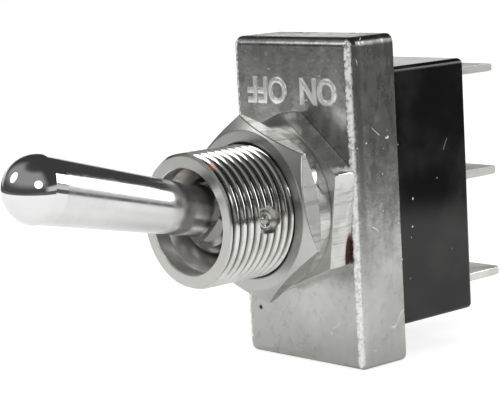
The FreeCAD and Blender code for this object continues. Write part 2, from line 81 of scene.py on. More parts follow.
def linear(code: str) -> tuple[float, float, float, float]:
    """Turn an sRGB hex colour into linear light.

    Args:
        code: six hex digits with a leading hash.

    Returns:
        Red, green, blue and an alpha of one.
    """
    parts = [int(code[i:i + 2], 16) / 255 for i in (1, 3, 5)]
    red, green, blue = (p / 12.92 if p <= 0.04045 else ((p + 0.055) / 1.055) ** 2.4 for p in parts)
    return red, green, blue, 1.0


def add_node(tree: Tree, kind: str, inputs: Any = (), **settings: Any) -> Node:
    """Add one shader node with its settings, and with values or links in its inputs.

    A value is a number, a colour, an output, or a node, which stands for its first output in use.

    Args:
        tree: the node tree it goes into.
        kind: the node's type without its leading ShaderNode.
        inputs: values for the inputs in use, in their order, or by name in a dictionary.
        **settings: the node's own settings.

    Returns:
        The new node.
    """
    node = tree.nodes.new("ShaderNode" + kind)
    for name, value in settings.items():
        setattr(node, name, value)
    if isinstance(inputs, dict):
        pairs = [(node.inputs[name], value) for name, value in inputs.items()]
    else:
        pairs = list(zip([entry for entry in node.inputs if entry.enabled], inputs))
    for entry, value in pairs:
        if isinstance(value, Node):
            value = next(output for output in value.outputs if output.enabled)
        if isinstance(value, Socket):
            tree.links.new(value, entry)
        else:
            entry.default_value = value
    return node


def add_object(name: str, data: Any) -> Piece:
    """Make an object of a mesh, text, light or camera and put it in the scene.

    Args:
        name: the object's name.
        data: what it shows.

    Returns:
        The new object, at the origin.
    """
    piece = bpy.data.objects.new(name, data)
    bpy.context.scene.collection.objects.link(piece)
    return piece


def grid_mesh(name: str, points: np.ndarray, closed: bool, joined: bool = True) -> Piece:
    """Make a surface from a grid of points that closes on itself in its first direction.

    Point (i, j) is joined to (i + 1, j) and (i, j + 1), and the last i to the first. Equal points
    at poles and clamped rows are merged, and the faces are turned outwards.

    Args:
        name: the object's name.
        points: an array of n by m by 3 coordinates in millimetres.
        closed: whether the last j is joined to the first as well.
        joined: whether the last i is joined to the first; if not, it lies on it and they merge.

    Returns:
        The new object, at the origin.
    """
    n, m = points.shape[:2]
    columns, rows = np.arange(n if joined else n - 1), np.arange(m if closed else m - 1)
    i, j = np.meshgrid(columns, rows, indexing="ij")
    ahead, right = (i + 1) % n, (j + 1) % m
    corners = [i * m + j, ahead * m + j, ahead * m + right, i * m + right]
    faces = np.stack(corners, -1).reshape(-1, 4)
    mesh = bpy.data.meshes.new(name)
    mesh.vertices.add(n * m)
    mesh.vertices.foreach_set("co", (points * MM).astype(np.float32).ravel())
    mesh.loops.add(faces.size)
    mesh.loops.foreach_set("vertex_index", faces.ravel().astype(np.int32))
    mesh.polygons.add(len(faces))
    mesh.polygons.foreach_set("loop_start", np.arange(len(faces), dtype=np.int32) * 4)
    mesh.update(calc_edges=True)
    tidy_mesh(mesh)
    return add_object(name, mesh)


def tidy_mesh(mesh: Mesh) -> None:
    """Merge a mesh's doubles, drop its empty faces and turn its faces outwards.

    Args:
        mesh: the mesh, which is changed.
    """
    work = bmesh.new()
    work.from_mesh(mesh)
    bmesh.ops.remove_doubles(work, verts=work.verts, dist=MERGE_MM * MM)
    bmesh.ops.dissolve_degenerate(work, edges=work.edges, dist=MERGE_MM * MM)
    bmesh.ops.recalc_face_normals(work, faces=work.faces)
    work.to_mesh(mesh)
    work.free()
    mesh.validate()


def read_points(mesh: Mesh) -> np.ndarray:
    """Read a mesh's points.

    Args:
        mesh: the mesh.

    Returns:
        An array of n by 3 coordinates in metres.
    """
    flat = np.empty(len(mesh.vertices) * 3, np.float32)
    mesh.vertices.foreach_get("co", flat)
    return flat.reshape(-1, 3)


def write_points(mesh: Mesh, points: np.ndarray) -> None:
    """Move a mesh's points to n by 3 coordinates in metres."""
    mesh.vertices.foreach_set("co", points.astype(np.float32).ravel())
    mesh.update()


def applied(piece: Piece) -> Mesh:
    """Work out the mesh that a piece shows.

    Args:
        piece: a mesh with its modifiers, or a text with its thickness.

    Returns:
        A new mesh.
    """
    bpy.context.view_layer.update()
    shown = piece.evaluated_get(bpy.context.evaluated_depsgraph_get())
    return bpy.data.meshes.new_from_object(shown)


def spun(profile: np.ndarray, segments: int, axis: np.ndarray, centre: np.ndarray) -> np.ndarray:
    """Turn a profile about an axis: point (i, j) is its point j at the angle i / segments.

    Args:
        profile: rows of radius and distance along the axis.
        segments: how many angles there are.
        axis: the axis's direction, of length one.
        centre: where the distance is zero.

    Returns:
        The grid of points.
    """
    side = np.array([1.0, 0.0, 0.0]) if abs(axis[0]) < 0.9 else np.array([0.0, 0.0, 1.0])
    side = side - axis * (side @ axis)
    side /= np.linalg.norm(side)
    other = np.cross(axis, side)
    turn = np.arange(segments)[:, None, None] * (2 * math.pi / segments)
    radius, along = profile[None, :, :1], profile[None, :, 1:]
    return centre + along * axis + radius * (np.cos(turn) * side + np.sin(turn) * other)


def about_y(grid: np.ndarray, turn: np.ndarray) -> np.ndarray:
    """Turn each row of a grid about the Y axis: x and z are the radius times cosine and sine.

    Args:
        grid: an array of n by m by radius and y.
        turn: the n angles.

    Returns:
        An array of n by m by 3 coordinates.
    """
    turn = turn[:, None]
    return np.stack([grid[..., 0] * np.cos(turn), grid[..., 1], grid[..., 0] * np.sin(turn)], -1)


def arc(centre: Span, radius: float, start: float, end: float, steps: int) -> np.ndarray:
    """Points of a circle in the plane of radius and distance, between two angles in degrees."""
    turn = np.radians(np.linspace(start, end, steps))
    return np.stack([centre[0] + radius * np.sin(turn), centre[1] + radius * np.cos(turn)], -1)


def smooth(piece: Piece, angle: float = 32.0) -> None:
    """Shade a piece smooth, apart from the edges that turn by more than the angle."""
    piece.data.shade_smooth()
    piece.data.set_sharp_from_angle(angle=math.radians(angle))


def round_edges(piece: Piece, width: float, angle: float) -> None:
    """Round a piece's sharp edges.

    Args:
        piece: the piece, which gets a live modifier.
        width: the rounding's width in millimetres.
        angle: an edge is rounded where it turns by more than these degrees.
    """
    rounding = piece.modifiers.new("edges", "BEVEL")
    rounding.width, rounding.segments, rounding.limit_method = width * MM, 2, "ANGLE"
    rounding.angle_limit = math.radians(angle)


def drill(piece: Piece, radius: float, start: np.ndarray, end: np.ndarray) -> None:
    """Cut a round hole into a piece and keep the result in its mesh.

    Args:
        piece: the piece, which is changed.
        radius: the hole's radius in millimetres.
        start: where the hole begins.
        end: where it ends.
    """
    length = float(np.linalg.norm(end - start))
    rows = np.array([[0, 0], [radius, 0], [radius, length], [0, length]], float)
    cutter = grid_mesh("cutter", spun(rows, 48, (end - start) / length, start), closed=False)
    cut = piece.modifiers.new("drill", "BOOLEAN")
    cut.operation, cut.object, cut.solver = "DIFFERENCE", cutter, "EXACT"
    shaped = applied(piece)
    piece.modifiers.remove(cut)
    tidy_mesh(shaped)
    piece.data = shaped
    bpy.data.objects.remove(cutter)


def place(piece: Piece, body: str, finish: Material, replaced: str = "") -> None:
    """Dress a new piece and attach it to the body that it rides on.

    Args:
        piece: the piece.
        body: the body that it rides on.
        finish: its material.
        replaced: the node that it stands for, if any.
    """
    piece.data.materials.clear()
    piece.data.materials.append(finish)
    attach(piece, body)
    if replaced:
        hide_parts(replaced)
    LOG.info("%s: %d faces, rides on %s", piece.name, len(piece.data.polygons), body)


def millimetres(tree: Tree) -> Node:
    """Object coordinates as millimetres."""
    here = add_node(tree, "TexCoord").outputs["Object"]
    return add_node(tree, "VectorMath", (here, 1 / MM), operation="SCALE")


def end_on(tree: Tree) -> Node:
    """How squarely a face looks along the bushing's axis, from 0 to 1.

    Args:
        tree: the material's node tree.

    Returns:
        The Y of the face's normal without its sign.
    """
    normal = add_node(tree, "TexCoord").outputs["Normal"]
    along = add_node(tree, "SeparateXYZ", (normal,)).outputs["Y"]
    return add_node(tree, "Math", (along,), operation="ABSOLUTE")


def overlap(tree: Tree, *shares: Any) -> Node:
    """The share in which several shares hold at once: their product."""
    return reduce(lambda a, b: add_node(tree, "Math", (a, b), operation="MULTIPLY"), shares)


def apart(tree: Tree, where: Node, centre: Triple, axes: Triple = (1.0, 1.0, 1.0)) -> Node:
    """How far a point is from a centre, in millimetres, with some axes stretched or left out.

    Args:
        tree: the material's node tree.
        where: the point in millimetres.
        centre: the centre in millimetres.
        axes: how much each axis counts; one that is zero doesn't.

    Returns:
        The distance.
    """
    off = add_node(tree, "VectorMath", (where, centre), operation="SUBTRACT")
    kept = add_node(tree, "VectorMath", (off, axes), operation="MULTIPLY")
    return add_node(tree, "VectorMath", (kept,), operation="LENGTH")


def blobs(tree: Tree, where: Node, size_mm: float, detail: float = 3.0,
          stretch: Triple = (1.0, 1.0, 1.0), shift: float = 0.0) -> Node:
    """Soft random blobs, from about 0.2 to about 0.8.

    Args:
        tree: the material's node tree.
        where: the point in millimetres.
        size_mm: how large a blob is.
        detail: how many finer layers lie in it.
        stretch: how densely the blobs lie along each axis.
        shift: how far the pattern is moved, so that no two patterns are the same.

    Returns:
        The pattern.
    """
    away = (shift, shift * 1.7, shift * 2.3)
    moved = add_node(tree, "VectorMath", (where, stretch, away), operation="MULTIPLY_ADD")
    return add_node(tree, "TexNoise", (moved, 0.5 / size_mm, detail, 0.55))


def specks(tree: Tree, where: Node, cell_mm: float, size_mm: float, share: float) -> Node:
    """Round specks of dust: one where a cell's random number is below the share.

    Args:
        tree: the material's node tree.
        where: the point in millimetres.
        cell_mm: how far apart the cells are.
        size_mm: how large the largest speck is; the others are as large as their number says.
        share: the share of the cells that have a speck.

    Returns:
        One in a speck and zero elsewhere.
    """
    cells = add_node(tree, "TexVoronoi", (where, 1 / cell_mm))
    number = add_node(tree, "TexWhiteNoise", (cells.outputs["Position"],), noise_dimensions="3D")
    reach = add_node(tree, "Math", (number, size_mm / (2 * cell_mm * share)), operation="MULTIPLY")
    inside = add_node(tree, "Math", (cells.outputs["Distance"], reach), operation="LESS_THAN")
    chosen = add_node(tree, "Math", (number, share), operation="LESS_THAN")
    return overlap(tree, chosen, inside)


def scratches(tree: Tree, where: Node, length_mm: float, width_mm: float, share: float) -> Node:
    """Fine wandering scratches: lines where slow blobs cross their middle, kept in some places.

    Args:
        tree: the material's node tree.
        where: the point in millimetres.
        length_mm: how long a scratch is.
        width_mm: how wide it is.
        share: how readily it is kept.

    Returns:
        One in a scratch and zero elsewhere.
    """
    path = blobs(tree, where, length_mm, 1.0, shift=11.0)
    off = add_node(tree, "Math", (path, 0.5), operation="SUBTRACT")
    near = add_node(tree, "Math", (off,), operation="ABSOLUTE")
    line = add_node(tree, "Math", (near, 0.25 * width_mm / length_mm), operation="LESS_THAN")
    places = blobs(tree, where, length_mm * 0.4, 1.0, shift=17.0)
    kept = add_node(tree, "Math", (places, 0.72 - share), operation="GREATER_THAN")
    return overlap(tree, line, kept)


def new_material(name: str) -> tuple[Material, Tree]:
    """Make an empty node material.

    Args:
        name: what the material is called.

    Returns:
        The material and its tree.
    """
    material = bpy.data.materials.new(name)
    material.use_nodes = True
    material.node_tree.nodes.clear()
    return material, material.node_tree


def shade_with(tree: Tree, inputs: dict[str, Any]) -> None:
    """Close a material's tree with its main shader, whose inputs are given by name."""
    shader = add_node(tree, "BsdfPrincipled", inputs)
    add_node(tree, "OutputMaterial", (shader,))


class Lay(Enum):
    """Which way the fine marks of a metal's surface run."""

    NONE = (1.0, 1.0, 1.0)
    ALONG_Y = (1.0, 0.04, 1.0)


@dataclass(frozen=True)
class Zone:
    """A place on a surface that is finished otherwise."""

    share: Node
    tint: str
    rough: float
    relief: Any = 0.0      # its height in millimetres
    metal: float = 1.0


@dataclass(frozen=True)
class PlatedMetal:
    """A plated or bare metal: a clean colour and a hazy one in patches, with grain and lay."""

    name: str
    clean: str
    hazy: str
    patch_mm: float
    sheen: float               # roughness of the clean metal
    haze: float                # roughness of the hazy patches
    grain_mm: float
    grain_depth_mm: float
    lay: Lay = Lay.NONE
    lay_mm: float = 0.4
    lay_depth_mm: float = 0.0
    lay_shade: float = 0.0     # how dark the deepest marks of the lay look
    lay_tint: str = "#77777A"
    patch_edge: float = 0.12
    metal: float = 1.0

    def zones(self, tree: Tree, where: Node) -> list[Zone]:
        """Find the places that are finished otherwise; a plain metal has none."""
        return []

    def material(self) -> Material:
        """Make the node material of this metal.

        The marks of a lay along Y are dark only on faces that it runs along, not on the ends.

        Returns:
            The new material.
        """
        material, tree = new_material(self.name)
        where = millimetres(tree)
        low, high = 0.5 - self.patch_edge, 0.5 + self.patch_edge
        patches = blobs(tree, where, self.patch_mm, 6.0)
        hazy = add_node(tree, "MapRange", (patches, low, high), **SMOOTH)
        marks = blobs(tree, where, self.lay_mm, 4.0, self.lay.value, 3.0)
        grain = blobs(tree, where, self.grain_mm, 2.0, shift=7.0)
        tints = (hazy, linear(self.clean), linear(self.hazy))
        colour = add_node(tree, "Mix", tints, data_type="RGBA")
        if self.lay_shade:
            dark = add_node(tree, "MapRange", (marks, 0.5, 0.66, 0.0, self.lay_shade), **SMOOTH)
            if self.lay is Lay.ALONG_Y:
                beside = add_node(tree, "MapRange", (end_on(tree), 0.2, 0.35, 1.0, 0.0), **SMOOTH)
                dark = overlap(tree, dark, beside)
            colour = add_node(tree, "Mix", (dark, colour, linear(self.lay_tint)), data_type="RGBA")
        rough = add_node(tree, "MapRange", (hazy, 0.0, 1.0, self.sheen, self.haze), **SMOOTH)
        scored = add_node(tree, "MapRange", (marks, 0.45, 0.75, 0.0, 0.08), **SMOOTH)
        rough = add_node(tree, "Math", (rough, scored), operation="ADD")
        reliefs = (overlap(tree, grain, self.grain_depth_mm),
                   overlap(tree, marks, self.lay_depth_mm))
        height = add_node(tree, "Math", reliefs, operation="ADD")
        metallic: Any = self.metal
        for zone in self.zones(tree, where):
            tints = (zone.share, colour, linear(zone.tint))
            colour = add_node(tree, "Mix", tints, data_type="RGBA")
            rough = add_node(tree, "Mix", (zone.share, rough, zone.rough))
            relief = overlap(tree, zone.share, zone.relief)
            height = add_node(tree, "Math", (height, relief), operation="ADD")
            if zone.metal < 1.0:
                metallic = add_node(tree, "Mix", (zone.share, metallic, zone.metal))
        bump = add_node(tree, "Bump", {"Height": height, "Distance": MM, "Strength": 1.0})
        shade_with(tree, {"Base Color": colour, "Metallic": metallic, "Roughness": rough,
                          "Normal": bump})
        return material


@dataclass(frozen=True)
class CanNickel(PlatedMetal):
    """The can's plating, clouded with painted shade near the top, and pale and rough with a painted
    highlight along its drawn front edges.
    """

    edge_x: Span = (6.98, 7.12)          # the painted edge highlight begins and is full
    front_y: Span = (0.22, 0.38)         # the painted edge highlight is full and ends
    highlight_fade_z: Span = (-8.0, 8.0)          # the painted highlight gets fainter to the top
    shade_streak_y: float = 0.85               # the middle of the dark streak along the side, a painted shade
    shade_streak_half: Span = (0.15, 0.55)
    side_x: Span = (7.2, 7.3)            # from the front face to the side, where the painted shade is stronger
    shade_cloud_z: Span = (-10.0, 7.0)         # the clouds begin and are full; they are painted darker upwards as painted shade
    pit: Triple = (-5.66, 0.0, -10.54)
    pit_radius: Span = (0.12, 0.26)

    def zones(self, tree: Tree, where: Node) -> list[Zone]:
        """Cloud the upper half, darker upwards and on the side as painted shade, paint a highlight
        along the front edges, and scatter scratches, dust and one pit.

        Args:
            tree: the material's node tree.
            where: the point in millimetres.

        Returns:
            The zones, each over the one before it.
        """
        parts = add_node(tree, "SeparateXYZ", (where,)).outputs
        side = add_node(tree, "Math", (parts["X"],), operation="ABSOLUTE")
        rubbed = blobs(tree, where, 0.16, 3.0, shift=4.0)
        ragged = overlap(tree, add_node(tree, "Math", (rubbed, 0.5), operation="SUBTRACT"), 0.5)
        across = add_node(tree, "Math", (side, ragged), operation="ADD")
        back = add_node(tree, "Math", (parts["Y"], ragged), operation="ADD")
        edge = add_node(tree, "MapRange", (across, *self.edge_x), **SMOOTH)
        front = add_node(tree, "MapRange", (back, *self.front_y, 1.0, 0.0), **SMOOTH)
        ragged_highlight = add_node(tree, "MapRange", (rubbed, 0.38, 0.54, 0.45, 1.0), **SMOOTH)
        fainter = add_node(tree, "MapRange", (parts["Z"], *self.highlight_fade_z, 1.0, 0.78), **SMOOTH)
        edge_highlight = overlap(tree, edge, front, ragged_highlight, fainter)
        off = add_node(tree, "Math", (back, self.shade_streak_y), operation="SUBTRACT")
        beside = add_node(tree, "Math", (off,), operation="ABSOLUTE")
        shade_streak = add_node(tree, "MapRange", (beside, *self.shade_streak_half, 0.9, 0.0), **SMOOTH)
        clouds = blobs(tree, where, 0.8, 5.0, (1.0, 1.5, 0.7), 9.0)
        cloud = add_node(tree, "MapRange", (clouds, 0.42, 0.6), **SMOOTH)
        either = add_node(tree, "Math", (cloud, shade_streak), operation="MAXIMUM")
        strong = add_node(tree, "MapRange", (side, *self.side_x, 0.4, 0.75), **SMOOTH)
        upper = add_node(tree, "MapRange", (parts["Z"], *self.shade_cloud_z), **SMOOTH)
        near = apart(tree, where, self.pit)
        return [
            # Painted shade: dark clouds that grow towards the top and onto the side, and a dark
            # streak along the side by the front edge.
            Zone(overlap(tree, either, strong, upper), "#5C5C59", 0.32,
                 relief=overlap(tree, cloud, -0.004)),
            # Painted highlight: the drawn front edges are painted near white and little metal,
            # ragged by the rubbed pattern and fainter to the top.
            Zone(edge_highlight, "#FBFBF9", 0.42, relief=overlap(tree, rubbed, 0.04), metal=0.12),
            Zone(scratches(tree, where, 2.4, 0.05, 0.08), "#E6E6E4", 0.5, metal=0.5),
            Zone(specks(tree, where, 0.9, 0.17, 0.3), "#E6E5E0", 0.8, relief=0.02, metal=0.0),
            Zone(add_node(tree, "MapRange", (near, *self.pit_radius, 1.0, 0.0), **SMOOTH),
                 "#2E2C2A", 0.7, relief=-0.08, metal=0.5),
        ]


@dataclass(frozen=True)
class BushingNickel(PlatedMetal):
    """The bushing's plating, dull in the bore and in the drilled pin recesses, with painted shade
    in the thread's roots and deeper in the bore.
    """

    bore_radius: Span = (4.72, 4.8)
    thread_radius: float = 5.3
    root_shade_radius: Span = (5.54, 5.8)
    mouth_y: Span = (-13.12, -13.0)
    bore_shade_y: Span = (-11.9, -10.4)        # the bore is painted darker over this stretch, as painted shade
    recess_radius: Span = (1.2, 1.3)
    tint_patch: Triple = (3.0, -12.65, 5.25)
    tint_patch_radius: Span = (0.3, 0.85)

    def zones(self, tree: Tree, where: Node) -> list[Zone]:
        """Tell the bore and the shaded roots by radius, the bore's painted shade and the mouth by
        Y, recess and orange patch by distance.

        Args:
            tree: the material's node tree.
            where: the point in millimetres.

        Returns:
            The zones, each over the one before it.
        """
        radius = apart(tree, where, (0.0, 0.0, 0.0), (1.0, 0.0, 1.0))
        bore = add_node(tree, "MapRange", (radius, *self.bore_radius, 1.0, 0.0), **SMOOTH)
        threaded = add_node(tree, "Math", (radius, self.thread_radius), operation="GREATER_THAN")
        low = add_node(tree, "MapRange", (radius, *self.root_shade_radius, 0.85, 0.0), **SMOOTH)
        along = add_node(tree, "SeparateXYZ", (where,)).outputs["Y"]
        mouth = add_node(tree, "MapRange", (along, *self.mouth_y, 1.0, 0.0), **SMOOTH)
        inner = add_node(tree, "MapRange", (along, *self.bore_shade_y), **SMOOTH)
        off_pin = apart(tree, where, tuple(PIVOT), (0.0, 1.0, 1.0))
        recess = add_node(tree, "MapRange", (off_pin, *self.recess_radius, 1.0, 0.0), **SMOOTH)
        off_tint_patch = apart(tree, where, self.tint_patch, (1.0, 1.6, 1.0))
        tint_patch = add_node(tree, "MapRange", (off_tint_patch, *self.tint_patch_radius, 0.8, 0.0), **SMOOTH)
        return [
            # Painted shade: the thread's roots are painted near black.
            Zone(overlap(tree, threaded, low), "#3A3A38", 0.3),
            Zone(mouth, "#CFCFCB", 0.3),
            Zone(recess, "#CFCEC9", 0.3),
            Zone(bore, "#DEDCD8", 0.2, metal=0.75),
            # Painted shade: the bore is painted darker deeper in.
            Zone(overlap(tree, bore, inner), "#A5A39E", 0.2),
            Zone(tint_patch, "#DC6A28", 0.35, metal=0.4),
        ]


@dataclass(frozen=True)
class NutNickel(PlatedMetal):
    """The nuts' plating, faced dull at the ends, with a dark brown patch in the corner by the can.
    """

    faced_normal: Span = (0.35, 0.8)
    tint_patch: Triple = (7.35, -0.3, -4.4)
    tint_patch_axes: Triple = (1.0, 1.5, 0.42)
    tint_patch_radius: Span = (0.8, 1.05)

    def zones(self, tree: Tree, where: Node) -> list[Zone]:
        """Tell the end faces by their normals, and the dark brown patch by its middle on the
        tapered edge.

        Args:
            tree: the material's node tree.
            where: the point in millimetres.

        Returns:
            The zones, each over the one before it.
        """
        faced = add_node(tree, "MapRange", (end_on(tree), *self.faced_normal, 0.0, 0.8), **SMOOTH)
        off = apart(tree, where, self.tint_patch, self.tint_patch_axes)
        tint_patch = add_node(tree, "MapRange", (off, *self.tint_patch_radius, 1.0, 0.0), **SMOOTH)
        return [Zone(faced, "#BFBFBC", 0.36), Zone(tint_patch, "#4B2A22", 0.5, metal=0.6)]


@dataclass(frozen=True)
class LeverChrome(PlatedMetal):
    """The lever's chrome, mirror bright on the tip and finely hazed along the bat."""

    tip: Triple = (0.0, -28.594, 4.935)
    tip_radius: Span = (2.99, 3.03)
    ball_shade_radius: Span = (3.9, 4.7)

    def zones(self, tree: Tree, where: Node) -> list[Zone]:
        """Tell the mirror-bright tip and the ball, painted dark as painted shade inside the
        bushing, by the distances from their middles.

        Args:
            tree: the material's node tree.
            where: the point in millimetres.

        Returns:
            The zones, each over the one before it.
        """
        off_tip, off_shaded_ball = apart(tree, where, self.tip), apart(tree, where, tuple(PIVOT))
        tip = add_node(tree, "MapRange", (off_tip, *self.tip_radius, 1.0, 0.0), **SMOOTH)
        ball = add_node(tree, "MapRange", (off_shaded_ball, *self.ball_shade_radius, 1.0, 0.0), **SMOOTH)
        # The ball is painted dark grey: painted shade where it sits inside the bushing.
        return [Zone(tip, "#ECECED", 0.035), Zone(ball, "#8F8E8E", 0.12)]


@dataclass(frozen=True)
class MouldedPlastic:
    """A moulded or sheet plastic with dust, fine scratches and a faint unevenness."""

    name: str
    body: str
    dust: str
    sheen: float                   # roughness where it is clean
    rubbed: float                  # roughness under the film of dust
    dust_mm: float = 0.2
    dust_share: float = 0.5
    dust_cell_mm: float = 1.6
    dust_rough: float = 0.5
    film_mm: float = 3.2
    film_share: float = 0.03
    scratch_mm: Span = (6.0, 0.07)
    scratch_share: float = 0.1
    scratch_level: float = 0.35    # how pale a scratch is beside a speck
    wave_mm: float = 2.5
    wave_depth_mm: float = 0.003

    def material(self) -> Material:
        """Make the node material of this plastic.

        Returns:
            The new material.
        """
        material, tree = new_material(self.name)
        where = millimetres(tree)
        speck = specks(tree, where, self.dust_cell_mm, self.dust_mm, self.dust_share)
        scratch = scratches(tree, where, *self.scratch_mm, self.scratch_share)
        faint = overlap(tree, scratch, self.scratch_level)
        speck = add_node(tree, "Math", (speck, faint), operation="MAXIMUM")
        clouds = blobs(tree, where, self.film_mm, 6.0)
        film = add_node(tree, "MapRange", (clouds, 0.42, 0.68), **SMOOTH)
        tints = (overlap(tree, film, self.film_share), linear(self.body), linear(self.dust))
        shade = add_node(tree, "Mix", tints, data_type="RGBA")
        colour = add_node(tree, "Mix", (speck, shade, linear(self.dust)), data_type="RGBA")
        rough = add_node(tree, "MapRange", (film, 0.0, 1.0, self.sheen, self.rubbed), **SMOOTH)
        dusty = overlap(tree, speck, self.dust_rough)
        rough = add_node(tree, "Math", (rough, dusty), operation="ADD")
        wave = blobs(tree, where, self.wave_mm, 2.0, shift=5.0)
        height = overlap(tree, wave, self.wave_depth_mm)
        bump = add_node(tree, "Bump", {"Height": height, "Distance": MM, "Strength": 1.0})
        shade_with(tree, {"Base Color": colour, "Roughness": rough, "Normal": bump})
        return material


# Deep-drawn steel under nickel is satin, with a cloudy look and an orange peel from drawing.
CAN_NICKEL = CanNickel(
    "drawn_steel_nickel_plated", clean="#C8C8C5", hazy="#BCBCB9", patch_mm=4.0, sheen=0.18,
    haze=0.25, grain_mm=0.45, grain_depth_mm=0.012, lay_mm=0.5, lay_depth_mm=0.006, lay_shade=0.12)
# The stamped words stand proud and are painted paler and less metallic than the face: partly rubbed
# wear from handling, partly a painted highlight.
PALE_WORD_NICKEL = PlatedMetal(
    "rubbed_and_highlit_steel_nickel_plated", clean="#F6F6F3", hazy="#E2E2DE", patch_mm=0.8, sheen=0.24,
    haze=0.34, grain_mm=0.2, grain_depth_mm=0.002, metal=0.72)
# Turned brass under bright nickel is nearly a mirror, and its crests glint; its roots are painted
# near black as painted shade.
TURNED_NICKEL = BushingNickel(
    "turned_brass_nickel_plated", clean="#E6E6E3", hazy="#D6D6D2", patch_mm=1.2, sheen=0.07,
    haze=0.13, grain_mm=0.25, grain_depth_mm=0.0008)
# Milled hexagon bar under nickel shows the cutter's lines along its flats and a silky sheen.
NUT_NICKEL = NutNickel(
    "milled_brass_nickel_plated", clean="#E4E4E1", hazy="#D2D2CE", patch_mm=1.4, sheen=0.13,
    haze=0.24, grain_mm=0.3, grain_depth_mm=0.0025, lay=Lay.ALONG_Y, lay_mm=0.2,
    lay_depth_mm=0.008, lay_shade=0.35)
# Polished chrome mirrors the room, a little blurred on the bat.
LEVER_CHROME = LeverChrome(
    "polished_chrome_plated", clean="#ECECED", hazy="#E2E2E3", patch_mm=2.5, sheen=0.12,
    haze=0.17, grain_mm=0.8, grain_depth_mm=0.0012)
# Headed wire under plating is small, round and softly bright.
PIN_STEEL = PlatedMetal(
    "headed_steel_wire", clean="#D2D2CF", hazy="#B4B4B0", patch_mm=0.5, sheen=0.16, haze=0.26,
    grain_mm=0.12, grain_depth_mm=0.001)
# Blanked brass under dull tin is pale and silky, with faint rolling lines.
TINNED = PlatedMetal(
    "blanked_brass_tin_plated", clean="#F1F0EC", hazy="#E4E2DC", patch_mm=1.6, sheen=0.34,
    haze=0.46, grain_mm=0.2, grain_depth_mm=0.001, lay=Lay.ALONG_Y, lay_mm=0.2,
    lay_depth_mm=0.002, metal=0.8)
# Drawn spring wire is dark grey and softly bright.
SPRING_WIRE = PlatedMetal(
    "drawn_spring_wire", clean="#A9A9A8", hazy="#8E8E8C", patch_mm=0.6, sheen=0.2, haze=0.35,
    grain_mm=0.08, grain_depth_mm=0.0006)
# Headed silver alloy is white and soft, dulled by handling.
SILVER = PlatedMetal(
    "headed_silver_alloy", clean="#F2F0E9", hazy="#D6D2C6", patch_mm=0.7, sheen=0.16, haze=0.32,
    grain_mm=0.1, grain_depth_mm=0.0008)
# Stamped bare brass is warm yellow, darker where it has tarnished.
BRASS = PlatedMetal(
    "stamped_bare_brass", clean="#D9B567", hazy="#B98F45", patch_mm=1.4, sheen=0.2, haze=0.36,
    grain_mm=0.15, grain_depth_mm=0.001)
# Moulded phenolic is a black gloss on which every speck of dust and rub mark shows.
PHENOLIC = MouldedPlastic(
    "moulded_black_phenolic", body="#070708", dust="#B9B8B4", sheen=0.09, rubbed=0.14,
    dust_mm=0.24, dust_share=0.7)
# Pressed vulcanised fibre is a matt red-brown sheet with a faint grain.
FIBRE = MouldedPlastic(
    "pressed_vulcanised_fibre", body="#4D3121", dust="#6E4B34", sheen=0.6, rubbed=0.75,
    film_share=0.16, wave_mm=0.5, wave_depth_mm=0.01)
# Moulded natural nylon is milky and soft-edged.
NYLON = MouldedPlastic(
    "moulded_natural_nylon", body="#DDD9CB", dust="#C9C4B4", sheen=0.35, rubbed=0.5,
    film_share=0.16)


